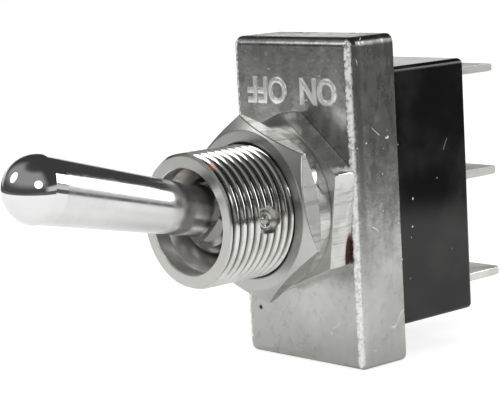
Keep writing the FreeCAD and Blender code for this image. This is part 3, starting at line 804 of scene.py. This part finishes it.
@dataclass
class Bushing:
    """The turned bushing with its thread, mouth, lever seat and flange, and the pivot pin in it."""

    length: float = 13.15
    crest: float = 6.0
    root: float = 5.48
    pitch: float = 0.8
    engaged: float = 5.72              # radius behind the thread's end, in the nuts
    thread_end: float = -5.75
    chamfer: float = 5.75              # the thread's radius at the mouth's face
    mouth_face: float = 5.2
    mouth_bore: float = 4.7
    bore_bevel: Span = (0.09, 0.1)
    mouth_depth: float = 1.55
    seat: float = 3.66
    seat_lip: float = 3.74
    seat_front: float = -10.15
    seat_back: float = -6.4
    tail_bore: float = 4.65
    tail_bore_end: float = -5.41
    flange: float = 6.8
    flange_front: float = 0.5
    flange_back: float = 1.5
    segments: int = 240
    rows_per_pitch: int = 12
    run_in: float = 0.3
    crest_half: float = 0.08           # half of the crest's flat, as a share of the pitch's half
    root_half: float = 0.08
    recess_radius: float = 1.225
    recess_floor: float = 5.2
    recess_depth: float = 1.5
    pin_radius: float = 0.85
    pin_gap: float = 0.02
    pin_end: float = 5.55
    # The pin's end is a dome in a staked ring: radius, and depth below the end.
    pin_rows: tuple[Span, ...] = (
        (0.0, 0.0), (0.16, 0.01), (0.3, 0.05), (0.4, 0.13), (0.46, 0.2), (0.54, 0.16),
        (0.62, 0.11), (0.72, 0.12), (0.8, 0.2), (0.85, 0.33),
    )

    def thread_rows(self) -> np.ndarray:
        """Work out the thread as rows that climb along its helix.

        Row j at the angle t lies at y = front + pitch * (j / rows - 1 + t / turn), held between the
        mouth and the last turn. The radius there is the crest less the thread's depth times a
        groove shape of the phase y / pitch - t / turn: a raised cosine, whose crests and roots are
        round as a rolled thread's are. The grooves deepen over the run in, and the mouth's chamfer
        and the run out into the nut limit them. The last angle is the first one a turn on: its row
        j lies where the first one's row j + rows does, so the thread has no seam there.

        Returns:
            An array of angles by rows by radius and y.
        """
        front, back = -self.length, self.thread_end
        turn = np.arange(self.segments + 1) / self.segments
        count = int((back - front) / self.pitch + 2) * self.rows_per_pitch
        climb = np.arange(count)[None, :] / self.rows_per_pitch - 1 + turn[:, None]
        y = np.clip(front + self.pitch * climb, front, back)
        phase = np.mod((y - front) / self.pitch - turn[:, None], 1.0)
        away = (np.abs(phase - 0.5) * 2 - self.root_half) / (1 - self.root_half - self.crest_half)
        groove = 0.5 + 0.5 * np.cos(math.pi * np.clip(away, 0.0, 1.0))
        deep = np.clip((y - front) / self.run_in, 0.0, 1.0)
        radius = self.crest - (self.crest - self.root) * groove * deep
        radius = np.minimum(radius, self.chamfer + (y - front))
        radius = np.minimum(radius, self.engaged + np.maximum(0.0, back - y))
        return np.stack([radius, y], -1)

    def build(self) -> Piece:
        """Build the bushing as one closed surface of angle and place along its outline.

        Returns:
            The bushing, with its recesses and the pin's hole.
        """
        front = -self.length
        before = np.array([
            [self.mouth_bore, front + self.bore_bevel[1]],
            [self.mouth_bore + self.bore_bevel[0], front], [self.mouth_face, front],
        ])
        after = np.array([
            [self.engaged, -0.02], [self.crest, 0.0], [self.crest, self.flange_front],
            [self.flange, self.flange_front], [self.flange, self.flange_back],
            [self.tail_bore, self.flange_back], [self.tail_bore, self.tail_bore_end],
            [self.seat, self.seat_back], [self.seat, self.seat_front],
            [self.seat_lip, self.seat_front - 0.15],
            [self.mouth_bore - 0.05, front + self.mouth_depth],
            [self.mouth_bore, front + self.mouth_depth - 0.1],
        ])
        count = self.segments + 1
        sides = [np.broadcast_to(rows, (count, *rows.shape)) for rows in (before, after)]
        grid = np.concatenate([sides[0], self.thread_rows(), sides[1]], axis=1)
        turn = np.arange(count) * (2 * math.pi / self.segments)
        piece = grid_mesh("bushing_thread", about_y(grid, turn), closed=True, joined=False)
        along_x = np.array([1.0, 0.0, 0.0])
        for side in (along_x, -along_x):
            start = PIVOT + side * self.recess_floor
            drill(piece, self.recess_radius, start, start + side * self.recess_depth)
        past = self.flange + 0.2
        drill(piece, self.pin_radius + self.pin_gap, PIVOT - along_x * past, PIVOT + along_x * past)
        smooth(piece)
        return piece

    def pin(self) -> Piece:
        """Build the pivot pin by turning its outline, whose ends are domed with a staked ring.

        Returns:
            The pin.
        """
        half = np.array(self.pin_rows) * [1, -1] + [0, self.pin_end]
        outline = np.concatenate([half, half[::-1] * [1, -1]])
        grid = spun(outline, 64, np.array([1.0, 0.0, 0.0]), PIVOT)
        piece = grid_mesh("pivot_pin_staked", grid, closed=False)
        smooth(piece)
        return piece

    def make(self) -> None:
        """Build and place the bushing and its pin."""
        place(self.build(), "switch_body", TURNED_NICKEL.material(), "bushing")
        place(self.pin(), "switch_body", PIN_STEEL.material(), "pivot_pin")


class NutForm(Enum):
    """The two forms of hexagon nut on the bushing."""

    COLLARED = "both ends of the hexagon chamfered, with a round collar behind it"
    TAPERED = "a sharp front, and flats that taper towards the can"


@dataclass
class HexagonNut:
    """One nut milled from hexagon bar, with a countersunk bore."""

    name: str
    front: float
    back: float
    turn: float                        # degrees that it is turned on the bushing
    form: NutForm
    flat: float = 7.4                  # from the axis to a flat
    bore: float = 5.76
    sink: float = 6.17
    collar: float = 7.2
    collar_length: float = 1.5
    chamfer_slope: float = math.tan(math.radians(30))
    taper_length: float = 1.1
    taper_slope: float = math.tan(math.radians(10))
    per_side: int = 36
    edge: float = 0.06
    edge_angle: float = 26.0
    sharp_angle: float = 24.0

    def outline(self) -> np.ndarray:
        """Work out the nut's outline at each angle.

        The hexagon's radius is flat / cos(angle from the nearest flat's middle). A chamfer meets it
        where the distance from the end is (hexagon's radius - collar) * slope, so it runs deepest
        at the corners. The tapered nut's flat narrows by the taper's slope instead.

        Returns:
            An array of angles by rows by radius and y.
        """
        count = 6 * self.per_side
        side_share = np.arange(count) % self.per_side / self.per_side
        corner = self.flat / np.cos(side_share * math.radians(60) - math.radians(30))
        depth = self.sink - self.bore
        rows = [(self.bore, self.back - depth), (self.bore, self.front + depth),
                (self.sink, self.front), (self.collar, self.front)]
        if self.form is NutForm.COLLARED:
            shoulder = self.back - self.collar_length
            rise = corner - self.collar
            chamfer = [(self.collar + rise * share, rise * self.chamfer_slope * share)
                       for share in THIRDS[1:]]
            rows += [(radius, self.front + off) for radius, off in chamfer]
            rows += [(radius, shoulder - off) for radius, off in reversed(chamfer)]
            rows += [(self.collar, shoulder + self.collar_length * share) for share in THIRDS]
        else:
            bevel = self.back - self.taper_length
            small = (self.flat - self.taper_length * self.taper_slope) / self.flat * corner
            rows += [(corner, self.front + (bevel - self.front) * share) for share in THIRDS]
            rows += [(corner + (small - corner) * share, bevel + self.taper_length * share)
                     for share in (0.5, 1.0)]
        rows += [(self.sink, self.back)]
        level = np.ones(count)
        return np.stack([np.stack([radius * level, y * level], -1) for radius, y in rows], 1)

    def build(self) -> Piece:
        """Build the nut as one closed surface of angle and place along its outline.

        Returns:
            The nut.
        """
        count = 6 * self.per_side
        turn = np.arange(count) / count * 2 * math.pi + math.radians(self.turn)
        piece = grid_mesh(self.name + "_milled", about_y(self.outline(), turn), closed=True)
        round_edges(piece, self.edge, self.edge_angle)
        smooth(piece, self.sharp_angle)
        return piece

    def make(self, finish: Material) -> None:
        """Build and place the nut."""
        place(self.build(), "switch_body", finish, self.name)


@dataclass
class Lever:
    """The one-piece bat lever with its pivot ball and its bored tail, along its own axis."""

    reach: float = 20.4                # from the pivot to the tip sphere's middle
    tip: float = 2.97
    crease: float = 0.25               # how far past its middle the tip sphere ends
    crease_step: float = 0.08
    front: float = 2.87
    root: float = 2.28
    root_reach: float = 5.1
    neck: float = 2.2
    fillet: float = 1.2
    ball: float = 3.6
    tail: float = 1.6
    tail_middle: float = -8.0
    tail_end: float = -15.6
    tail_bevel: float = 0.1
    bore: float = 1.05
    bore_bevel: float = 0.05
    bore_start: float = -8.6
    bore_cone: float = 0.4
    pin_hole: float = 0.91
    sharp_angle: float = 20.0

    def build(self) -> Piece:
        """Turn the lever's outline about its tilted axis: tip, bat, neck, ball, tail and bore.

        The bat's radius grows evenly from its root to its front. The neck's fillet touches both
        the neck and the ball, so its middle lies a fillet outside either.

        Returns:
            The lever, with the pin's hole.
        """
        crease_angle = math.degrees(math.acos(self.crease / self.tip))
        bat_start = self.reach + self.crease - self.crease_step
        bat_at = np.linspace(bat_start, self.root_reach, 24)
        share = (bat_at - self.root_reach) / (bat_start - self.root_reach)
        bat = np.stack([self.root + (self.front - self.root) * share, bat_at], -1)
        out = self.neck + self.fillet
        along = math.sqrt((self.ball + self.fillet) ** 2 - out ** 2)
        touch = math.degrees(math.atan2(out, along))
        tail_meets = math.sqrt(self.ball ** 2 - self.tail ** 2)
        ball_end = math.degrees(math.acos(-tail_meets / self.ball))
        outline = np.concatenate([
            arc((0.0, self.reach), self.tip, 0, crease_angle, 48),
            bat,
            [[self.neck + 0.01, along + 0.7], [self.neck, along + 0.3]],
            arc((out, along), self.fillet, -90, touch - 180, 12),
            arc((0.0, 0.0), self.ball, touch + 1, ball_end, 40),
            [[self.tail, -tail_meets - 0.1], [self.tail, self.tail_middle],
             [self.tail, self.tail_end + self.tail_bevel],
             [self.tail - self.tail_bevel, self.tail_end],
             [self.bore + self.bore_bevel, self.tail_end],
             [self.bore, self.tail_end + self.bore_bevel],
             [self.bore, self.bore_start - self.bore_cone], [0.0, self.bore_start]],
        ])
        axis = np.array([0.0, -math.cos(LEVER_LEAN), math.sin(LEVER_LEAN)])
        piece = grid_mesh("lever_bat", spun(outline, 128, axis, PIVOT), closed=False)
        past = np.array([5.0, 0.0, 0.0])
        drill(piece, self.pin_hole, PIVOT - past, PIVOT + past)
        smooth(piece, self.sharp_angle)
        return piece

    def make(self) -> None:
        """Build and place the lever."""
        place(self.build(), "lever", LEVER_CHROME.material(), "lever")


@dataclass
class Spring:
    """The compression spring in the lever's tail, with a closed coil at each end."""

    start: float = 8.65                # from the pivot along the tail
    end: float = 11.95
    coil: float = 0.87
    wire: float = 0.26
    turns: int = 7
    steps_per_turn: int = 40
    wire_steps: int = 12
    end_pitch: float = 0.27
    stroke: float = 0.8
    sharp_angle: float = 50.0

    def axis(self) -> np.ndarray:
        """The direction of the lever's tail."""
        return np.array([0.0, math.cos(LEVER_LEAN), -math.sin(LEVER_LEAN)])

    def build(self) -> Piece:
        """Sweep the wire's circle along the coil.

        The coil climbs by the end pitch in its first and last turn, and evenly between them. A
        point of the surface is off the coil's line by the wire's radius: outwards times the cosine,
        and along the spring times the sine, of its angle round the wire. The radius is nothing in
        the first and last row, which closes the ends.

        Returns:
            The spring.
        """
        steps = np.linspace(0.0, self.turns, self.turns * self.steps_per_turn + 1)
        turn = np.concatenate([[0.0], steps, [self.turns]])
        low, high = self.start + self.wire / 2, self.end - self.wire / 2
        heights = [low, low + self.end_pitch, high - self.end_pitch, high]
        climb = np.interp(turn, [0, 1, self.turns - 1, self.turns], heights)
        thick = np.full(len(turn), self.wire / 2)
        thick[[0, -1]] = 0.0
        around = np.arange(self.wire_steps)[:, None] * (2 * math.pi / self.wire_steps)
        out = (self.coil + thick * np.cos(around))[..., None]
        along = (climb + thick * np.sin(around))[..., None]
        angle = (turn * 2 * math.pi)[None, :, None]
        side = np.array([1.0, 0.0, 0.0])
        radial = np.cos(angle) * side + np.sin(angle) * np.cross(self.axis(), side)
        points = PIVOT + along * self.axis() + out * radial
        piece = grid_mesh("plunger_spring_coil", points, closed=False)
        smooth(piece, self.sharp_angle)
        return piece

    def make(self) -> None:
        """Build and place the spring at its rest length, with a mesh of its own; on the switch the
        plunger shortens it towards its bore's bottom.
        """
        piece = self.build()
        place(piece, "lever", SPRING_WIRE.material(), "plunger_spring")
        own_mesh(piece)


@dataclass
class StampedWords:
    """The two positions' words raised on the can's front face, upside down as on the object."""

    words: str = "ON  OFF"
    low: Span = (-5.8, 8.8)            # x and z of the corner of their place
    high: Span = (5.9, 11.35)
    height: float = 0.15
    thickness: float = 0.004           # this and the next two count in letters' sizes
    roundness: float = 0.045
    weight: float = 0.002
    round_steps: int = 3
    sharp_angle: float = 40.0

    def build(self) -> Piece:
        """Make the words a mesh and fit them upside down to their place.

        A point's share of the way across, up and through the text goes from one end of the place to
        the other. They are half sunk, so that their round tops stand proud.

        Returns:
            The words.
        """
        text = bpy.data.curves.new("words", "FONT")
        text.body, text.size = self.words, 1.0
        text.extrude, text.offset = self.thickness, self.weight
        text.bevel_depth, text.bevel_resolution = self.roundness, self.round_steps
        carrier = add_object("carrier", text)
        mesh = applied(carrier)
        bpy.data.objects.remove(carrier)
        points = read_points(mesh)
        share = (points - points.min(0)) / (points.max(0) - points.min(0))
        placed = np.stack([
            self.high[0] + (self.low[0] - self.high[0]) * share[:, 0],
            self.height * (1 - 2 * share[:, 2]),
            self.high[1] + (self.low[1] - self.high[1]) * share[:, 1],
        ], -1)
        write_points(mesh, placed * MM)
        tidy_mesh(mesh)
        piece = add_object("stamped_words", mesh)
        smooth(piece, self.sharp_angle)
        return piece

    def make(self, finish: Material) -> None:
        """Build and place the words."""
        place(self.build(), "switch_body", finish)


@dataclass
class Blade:
    """A blade terminal on its solid's outline, with a swaged tip and tumbled edges."""

    node: str
    tip: float = 25.05
    swage: float = 1.6
    thinned: float = 0.5
    merge: float = 0.001
    flat_angle: float = 1.0            # faces that turn by less are one
    edge: float = 0.12
    edge_angle: float = 40.0
    sharp_angle: float = 30.0

    def build(self) -> Piece:
        """Copy the solid, cut it across where the swaged tip begins and thin the tip.

        Past the cut a point's height above the blade's middle shrinks in proportion to its distance
        from the cut, down to the tip's share of the thickness. A bevel then rounds the edges.

        Returns:
            The blade.
        """
        mesh = frame["nodes"][self.node].data.copy()
        mesh.name = self.node + "_tinned"
        start = self.tip - self.swage
        work = bmesh.new()
        work.from_mesh(mesh)
        bmesh.ops.remove_doubles(work, verts=work.verts, dist=self.merge * MM)
        bmesh.ops.dissolve_limit(work, angle_limit=math.radians(self.flat_angle), verts=work.verts,
                                 edges=work.edges)
        bmesh.ops.bisect_plane(work, geom=[*work.verts, *work.edges, *work.faces],
                               plane_co=(0, start * MM, 0), plane_no=(0, 1, 0))
        work.to_mesh(mesh)
        work.free()
        points = read_points(mesh).astype(float)
        past = np.clip((points[:, 1] / MM - start) / self.swage, 0.0, 1.0)
        ends = points[points[:, 1] > (self.tip - 0.01) * MM, 2]
        middle = (ends.min() + ends.max()) / 2
        points[:, 2] = middle + (points[:, 2] - middle) * (1 - self.thinned * past)
        write_points(mesh, points)
        piece = add_object(mesh.name, mesh)
        round_edges(piece, self.edge, self.edge_angle)
        smooth(piece, self.sharp_angle)
        return piece

    def make(self, finish: Material) -> None:
        """Build and place the blade."""
        place(self.build(), "switch_body", finish, self.node)


@dataclass
class Housing:
    """The drawn can, its base and inner pieces, which keep the shape of their solids."""

    def make(self, can: Material) -> None:
        """Give each solid that is shown as it is the finish of its slot.

        Args:
            can: the can's finish.
        """
        finishes = {
            "can_plating": can,
            "phenolic": PHENOLIC.material(),
            "fibre_sheet": FIBRE.material(),
            "nylon": NYLON.material(),
            "contact_silver": SILVER.material(),
            "bare_brass": BRASS.material(),
        }
        slots = {row["node"]: row["material_slot"] for row in frame["record"]["subparts"]}
        for node, slot in slots.items():
            if slot in finishes:
                solid = frame["nodes"][node]
                solid.data.materials.clear()
                solid.data.materials.append(finishes[slot])
                LOG.info("%s: solid kept, %s", node, finishes[slot].name)


def standing(side: np.ndarray, up: np.ndarray, back: np.ndarray, at: np.ndarray) -> Matrix:
    """The matrix of a lamp or camera with these axes, at a point in metres."""
    return Matrix(np.vstack([np.stack([side, up, back, at], -1), [0.0, 0.0, 0.0, 1.0]]).tolist())


class LampShape(Enum):
    """The outline of a lamp, which mirror-like surfaces show."""

    SQUARE = "RECTANGLE"
    ROUND = "ELLIPSE"


@dataclass(frozen=True)
class Lamp:
    """A soft lamp that faces the part."""

    name: str
    azimuth: float                     # degrees from -Y towards +X
    height: float                      # degrees above the floor
    distance: float                    # metres from the part
    size: Span                         # metres across and high
    level: float                       # light on what faces it, as a share of a plain white level
    glossy: bool = True                # whether mirror-like surfaces show it
    shape: LampShape = LampShape.SQUARE

    def hang(self) -> None:
        """Hang the lamp at its angles and distance, turned to the part."""
        light = bpy.data.lights.new(self.name, "AREA")
        light.shape = self.shape.value
        light.size, light.size_y = self.size
        light.energy = self.level * math.pi ** 2 * self.distance ** 2
        a, e = math.radians(self.azimuth), math.radians(self.height)
        out = np.array([math.sin(a) * math.cos(e), -math.cos(a) * math.cos(e), math.sin(e)])
        side = np.cross([0.0, 0.0, 1.0], out) if self.height < 89 else np.array([1.0, 0.0, 0.0])
        side /= np.linalg.norm(side)
        piece = add_object(self.name, light)
        piece.matrix_world = standing(side, np.cross(out, side), out, out * self.distance)
        piece.visible_glossy = self.glossy


# A plain overhead light, two lamps in front and a soft box behind on the right. The two in front
# are round where mirrors show them, and light matt surfaces from a pair of their own.
LAMPS = (
    Lamp("overhead", azimuth=0, height=90, distance=1.1, size=(1.3, 1.3), level=0.46, glossy=False),
    Lamp("front_left_fill", azimuth=-41, height=31, distance=0.85, size=(0.3, 0.3), level=0.25,
         glossy=False),
    Lamp("front_right_fill", azimuth=58, height=24, distance=0.85, size=(0.3, 0.3), level=0.2,
         glossy=False),
    Lamp("front_left", azimuth=-41, height=31, distance=0.7, size=(0.3, 0.3), level=0.1,
         shape=LampShape.ROUND),
    Lamp("front_right", azimuth=58, height=24, distance=0.7, size=(0.3, 0.3), level=0.1,
         shape=LampShape.ROUND),
    Lamp("rear_box", azimuth=153, height=20.5, distance=0.8, size=(0.42, 0.35), level=0.22),
)


@dataclass
class Studio:
    """The floor, the lamps, the world and the camera."""

    floor_level: float = -14.97
    floor_half: float = 3.0                              # metres
    disc_centre: Span = (-39.0, -39.0)                   # of the floor that mirrors see white
    disc_radius: float = 150.0
    disc_blur: float = 14.0
    far_floor: float = 0.11                              # its level in mirrors beyond the disc
    floor_glow: float = 0.8
    fill: tuple[float, ...] = (0.38, 0.38, 0.385, 1.0)   # the light that matt surfaces get
    glow_side: Triple = (-0.748, 0.664, 0.0)             # where the horizon behind is brightest
    glow_edge: Span = (0.8, 0.95)
    glow_level: Span = (0.55, 0.85)                      # on the right, and on the left
    glow_height: Span = (0.14, 0.3)
    back_level: float = 0.05
    front_height: Span = (0.1, 0.5)
    front_level: Span = (0.07, 0.3)                      # at the horizon, and half way up
    top_height: Span = (0.84, 0.97)
    top_level: float = 0.2
    front_to_back: Span = (-0.25, 0.15)
    eye: Triple = (125.46, -116.97, 25.90)
    eye_right: Triple = (0.66876, 0.74145, -0.05481)
    eye_down: Triple = (0.07337, -0.13919, -0.98754)
    eye_ahead: Triple = (-0.73985, 0.65641, -0.14748)
    sensor: float = 36.0
    focal: float = 136.8
    near: float = 0.005                                  # metres

    def floor(self) -> None:
        """Lay a pale floor; a mirror-like surface sees it white near the part and dark beyond."""
        half, level = self.floor_half, self.floor_level * MM
        corners = [(-half, -half, level), (half, -half, level), (half, half, level),
                   (-half, half, level)]
        mesh = bpy.data.meshes.new("floor")
        mesh.from_pydata(corners, [], [(0, 1, 2, 3)])
        piece = add_object("floor", mesh)
        material, tree = new_material("pale_paper")
        rays = add_node(tree, "LightPath").outputs
        off = apart(tree, millimetres(tree), (*self.disc_centre, self.floor_level))
        rim = (self.disc_radius - self.disc_blur, self.disc_radius + self.disc_blur)
        far = add_node(tree, "MapRange", (off, *rim), **SMOOTH)
        dark = overlap(tree, far, rays["Is Glossy Ray"])
        papers = (rays["Is Camera Ray"], linear("#F8F8F6"), linear("#A0A0A0"))
        paper = add_node(tree, "Mix", papers, data_type="RGBA")
        grey = (self.far_floor, self.far_floor, self.far_floor, 1.0)
        colour = add_node(tree, "Mix", (dark, paper, grey), data_type="RGBA")
        glow = overlap(tree, rays["Is Camera Ray"], self.floor_glow)
        shade_with(tree, {"Base Color": colour, "Roughness": 1.0, "Specular IOR Level": 0.0,
                          "Emission Color": WHITE, "Emission Strength": glow})
        mesh.materials.append(material)

    def world(self) -> None:
        """Give the camera a white surround, matt surfaces a fill and mirrors a room.

        In front the room is dark at the horizon, grey half way up and dark overhead. Behind it is
        dark, apart from a bright horizon on the left and a fainter one on the right.
        """
        world = bpy.data.worlds.new("studio")
        bpy.context.scene.world = world
        world.use_nodes = True
        tree = world.node_tree
        tree.nodes.clear()
        rays = add_node(tree, "LightPath").outputs
        direction = add_node(tree, "TexCoord").outputs["Generated"]
        parts = add_node(tree, "SeparateXYZ", (direction,)).outputs
        left = add_node(tree, "VectorMath", (direction, self.glow_side), operation="DOT_PRODUCT")
        bright = add_node(tree, "MapRange", (left, *self.glow_edge, *self.glow_level), **SMOOTH)
        low = add_node(tree, "MapRange", (parts["Z"], *self.glow_height, 1.0, 0.0), **SMOOTH)
        glow = overlap(tree, bright, low)
        behind = add_node(tree, "Math", (glow, self.back_level), operation="ADD")
        heights = (parts["Z"], *self.front_height, *self.front_level)
        rising = add_node(tree, "MapRange", heights, **SMOOTH)
        tops = (parts["Z"], *self.top_height, 1.0, self.top_level)
        ahead = overlap(tree, rising, add_node(tree, "MapRange", tops, **SMOOTH))
        turned = add_node(tree, "MapRange", (parts["Y"], *self.front_to_back), **SMOOTH)
        room = add_node(tree, "Mix", (turned, ahead, behind))
        grey = add_node(tree, "CombineColor", (room, room, room))
        lights = (rays["Is Glossy Ray"], self.fill, grey)
        seen = add_node(tree, "Mix", lights, data_type="RGBA")
        seen = add_node(tree, "Mix", (rays["Is Camera Ray"], seen, WHITE), data_type="RGBA")
        shader = add_node(tree, "Background", (seen, 1.0))
        add_node(tree, "OutputWorld", (shader,))

    def camera(self) -> None:
        """Stand the camera where a fit to the part's corners and circles puts the photograph's."""
        lens = bpy.data.cameras.new("camera")
        lens.sensor_width, lens.lens, lens.clip_start = self.sensor, self.focal, self.near
        right, down = np.array(self.eye_right), np.array(self.eye_down)
        ahead, eye = np.array(self.eye_ahead), np.array(self.eye)
        piece = add_object("camera", lens)
        piece.matrix_world = standing(right, -down, -ahead, eye * MM)
        bpy.context.scene.camera = piece

    def make(self) -> None:
        """Set up the whole studio."""
        bpy.context.scene.view_settings.view_transform = "Standard"
        self.camera()
        self.floor()
        for lamp in LAMPS:
            lamp.hang()
        self.world()


def main() -> None:
    """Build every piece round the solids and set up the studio."""
    logging.basicConfig(level=logging.INFO, format="%(name)s %(message)s")
    can = CAN_NICKEL.material()
    nuts = NUT_NICKEL.material()
    tin = TINNED.material()
    Housing().make(can)
    Bushing().make()
    HexagonNut("front_nut", front=-6.05, back=-2.6, turn=38.7, form=NutForm.COLLARED).make(nuts)
    HexagonNut("rear_nut", front=-2.6, back=0.0, turn=22.0, form=NutForm.TAPERED).make(nuts)
    Lever().make()
    Spring().make()
    StampedWords().make(PALE_WORD_NICKEL.material())
    for node in ("terminal_upper", "terminal_centre", "terminal_lower"):
        Blade(node).make(tin)
    Studio().make()


if __name__ == "__main__":
    main()
